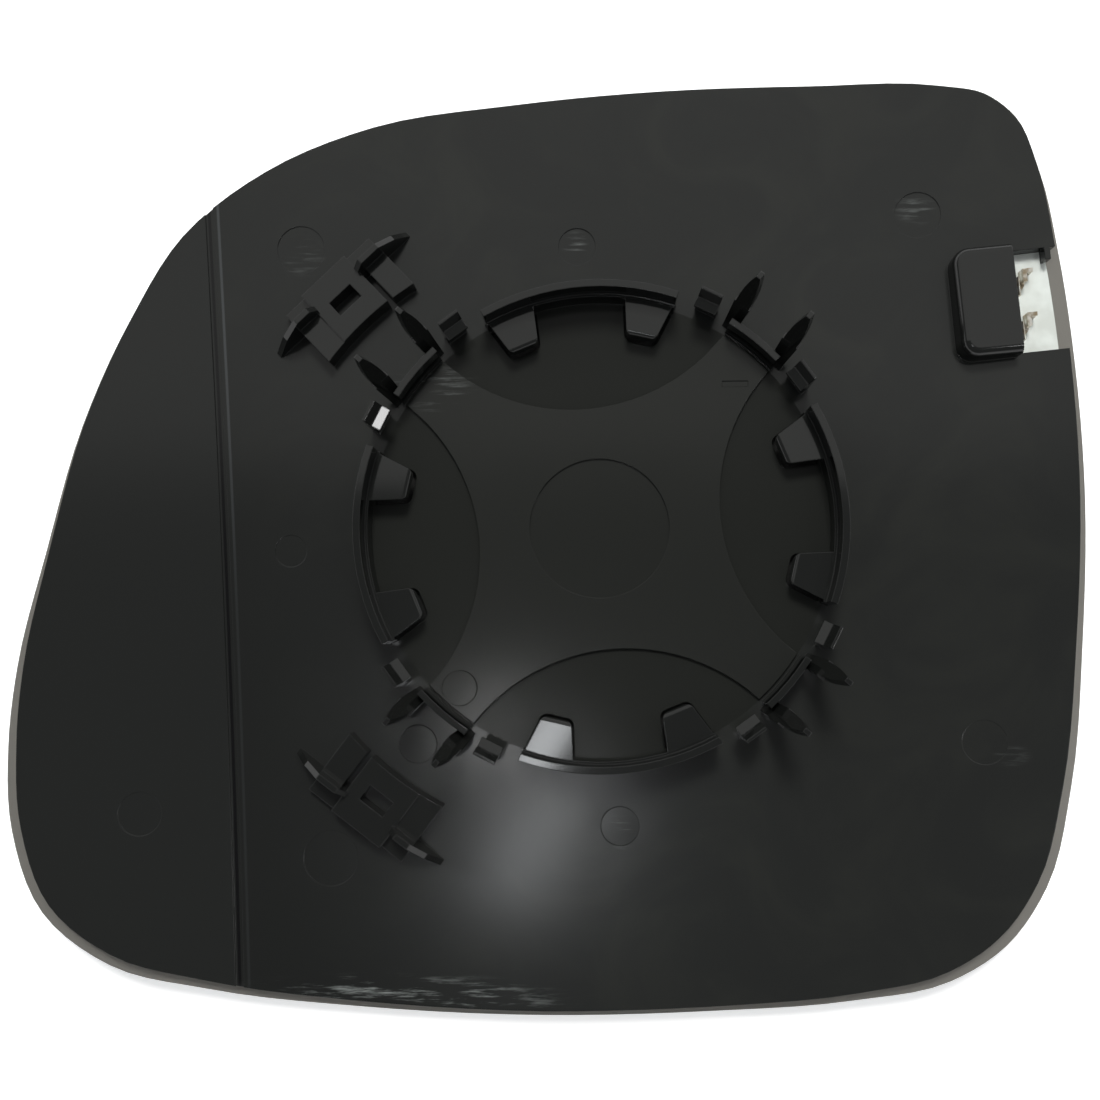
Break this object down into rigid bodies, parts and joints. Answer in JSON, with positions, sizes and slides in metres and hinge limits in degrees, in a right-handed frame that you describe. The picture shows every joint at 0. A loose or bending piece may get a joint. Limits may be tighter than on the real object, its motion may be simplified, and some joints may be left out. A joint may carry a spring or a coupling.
{
  "type": "car door mirror glass",
  "caption": "Convex door mirror glass with a wide-angle outer field, a heater film and a moulded backing plate whose ring, lugs and hooks clip onto the mirror adjuster.",
  "frame": {"origin": "centre of the overall box in plan, at the lowest point of the convex mirror face", "axes": "+Z out of the back, towards the adjuster; +X towards the notch with the heater terminals; +Y up the glass"},
  "size_m": [0.199, 0.1729, 0.0264],
  "materials": {
    "mirror_glass": "polished",
    "heater_film": "satin",
    "adhesive_sheet": "matte",
    "backing_plate": "satin",
    "terminals": "tinned"
  },
  "bodies": {
    "root": {"mirror_glass": "mirror_glass", "heater_film": "heater_film", "adhesive_sheet": "adhesive_sheet", "backing_plate": "backing_plate", "terminal_upper": "terminals", "terminal_lower": "terminals"}
  },
  "joints": []
}
